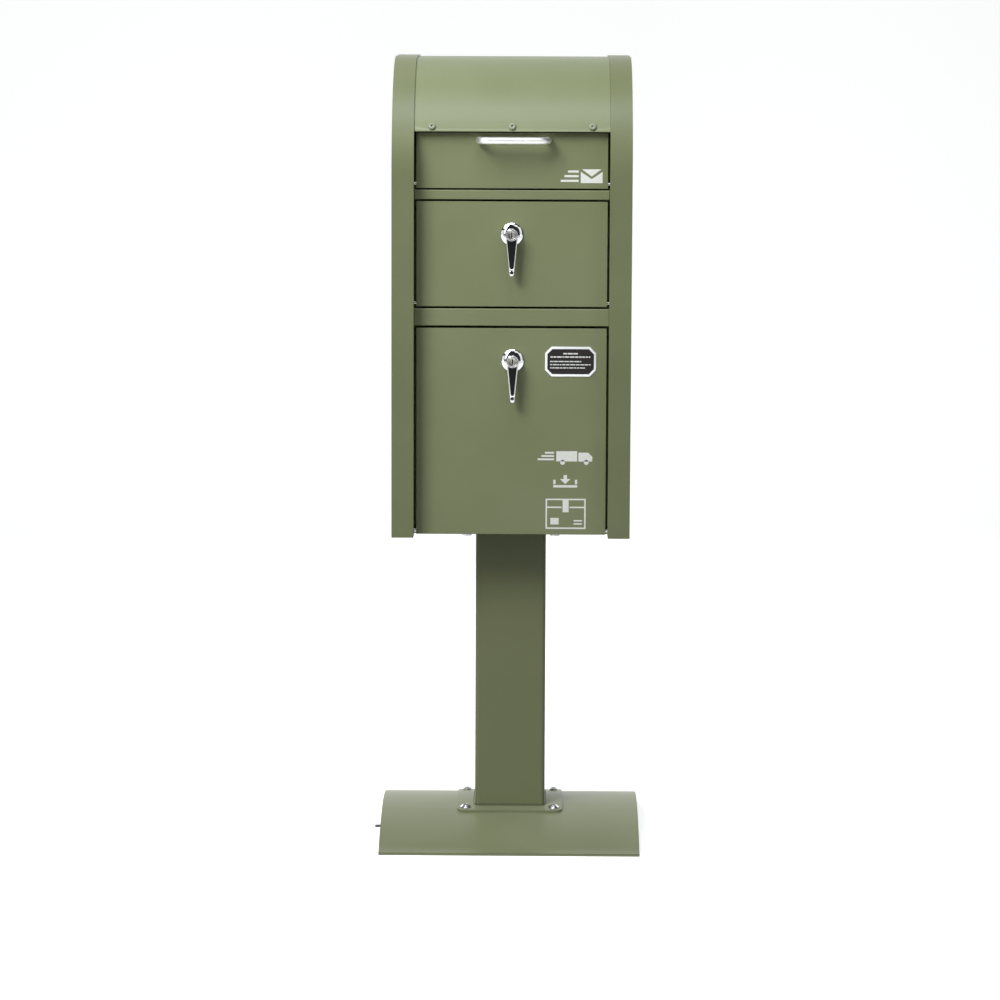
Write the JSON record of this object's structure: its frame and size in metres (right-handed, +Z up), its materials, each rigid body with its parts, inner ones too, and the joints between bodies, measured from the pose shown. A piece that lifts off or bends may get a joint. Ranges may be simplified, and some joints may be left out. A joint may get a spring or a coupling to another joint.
{
  "type": "pedestal parcel drop box",
  "caption": "Free-standing pedestal drop box: letter flap, lockable mail door and parcel door under a quarter-round hood, on a square post and arched base.",
  "frame": {"origin": "on the ground, under the centre of the post and base", "axes": "+Z up, the doors face -Y, +X to the right seen from the front"},
  "size_m": [0.382, 0.37, 1.12],
  "materials": {
    "black_plastic": "fine matt",
    "chrome": "polished chrome plate",
    "plate_face": "silver border around a black printed field",
    "powder_coat": "satin sage-green powder coat",
    "powder_coat_base": "satin sage-green powder coat on thick plate",
    "rubber_black": "matt",
    "satin_aluminium": "satin anodised",
    "zinc_dark": "dull galvanised strip",
    "zinc_steel": "bright zinc plate"
  },
  "bodies": {
    "body": {"base_plate": "powder_coat_base", "anchor_tab": "zinc_dark", "foot_flange": "powder_coat_base", "foot_weld": "powder_coat_base", "foot_bolts": "zinc_steel", "foot_washers": "zinc_steel", "foot_nuts": "zinc_steel", "post_tube": "powder_coat_base", "top_flange": "powder_coat_base", "top_bolts": "zinc_steel", "top_cap_nuts": "zinc_steel", "floor_panel": "powder_coat", "side_casing_left": "powder_coat", "side_casing_right": "powder_coat", "back_panel": "powder_coat", "divider_shelf": "powder_coat", "upper_rail": "powder_coat", "lower_rail": "powder_coat", "jamb_left": "powder_coat", "jamb_right": "powder_coat", "door_bumpers": "rubber_black", "hood": "powder_coat", "hood_stiffener": "powder_coat", "hood_screws": "powder_coat", "letter_flap_pins": "zinc_steel", "mail_door_pins": "zinc_steel", "parcel_door_pins": "zinc_steel"},
    "letter_flap": {"letter_flap_panel": "powder_coat", "bow_handle": "satin_aluminium", "bow_handle_screws": "zinc_steel", "letter_flap_springs": "zinc_steel"},
    "mail_door": {"mail_door_panel": "powder_coat", "mail_lock_body": "chrome", "mail_lock_nut": "zinc_steel"},
    "mail_lever": {"mail_lever": "chrome", "mail_lever_inlay": "black_plastic", "mail_lock_cam": "zinc_steel", "mail_cam_screw": "zinc_steel"},
    "mail_key_plug": {"mail_key_plug": "chrome"},
    "parcel_door": {"parcel_door_panel": "powder_coat", "parcel_lock_body": "chrome", "parcel_lock_nut": "zinc_steel", "notice_plate": "plate_face"},
    "parcel_lever": {"parcel_lever": "chrome", "parcel_lever_inlay": "black_plastic", "parcel_lock_cam": "zinc_steel", "parcel_cam_screw": "zinc_steel"},
    "parcel_key_plug": {"parcel_key_plug": "chrome"}
  },
  "joints": [
    {"name": "letter_flap_hinge", "type": "hinge", "parent": "body", "child": "letter_flap", "pos_m": [0, -0.1137, 0.9455], "axis": [1, 0, 0], "range_deg": [0, 60], "stiffness_Nm_per_rad": 0.25, "springref_deg": -28.65},
    {"name": "mail_door_hinge", "type": "hinge", "parent": "body", "child": "mail_door", "pos_m": [0, -0.1137, 0.7782], "axis": [1, 0, 0], "range_deg": [0, 90]},
    {"name": "parcel_door_hinge", "type": "hinge", "parent": "body", "child": "parcel_door", "pos_m": [0, -0.1137, 0.455], "axis": [1, 0, 0], "range_deg": [0, 90]},
    {"name": "mail_lever_turn", "type": "hinge", "parent": "mail_door", "child": "mail_lever", "pos_m": [0, -0.119, 0.8755], "axis": [0, 1, 0], "range_deg": [0, 90]},
    {"name": "mail_key_turn", "type": "hinge", "parent": "mail_lever", "child": "mail_key_plug", "pos_m": [0, -0.134, 0.8755], "axis": [0, 1, 0], "range_deg": [0, 90]},
    {"name": "parcel_lever_turn", "type": "hinge", "parent": "parcel_door", "child": "parcel_lever", "pos_m": [0.0018, -0.119, 0.6975], "axis": [0, 1, 0], "range_deg": [0, 90]},
    {"name": "parcel_key_turn", "type": "hinge", "parent": "parcel_lever", "child": "parcel_key_plug", "pos_m": [0.0018, -0.134, 0.6975], "axis": [0, 1, 0], "range_deg": [0, 90]}
  ]
}
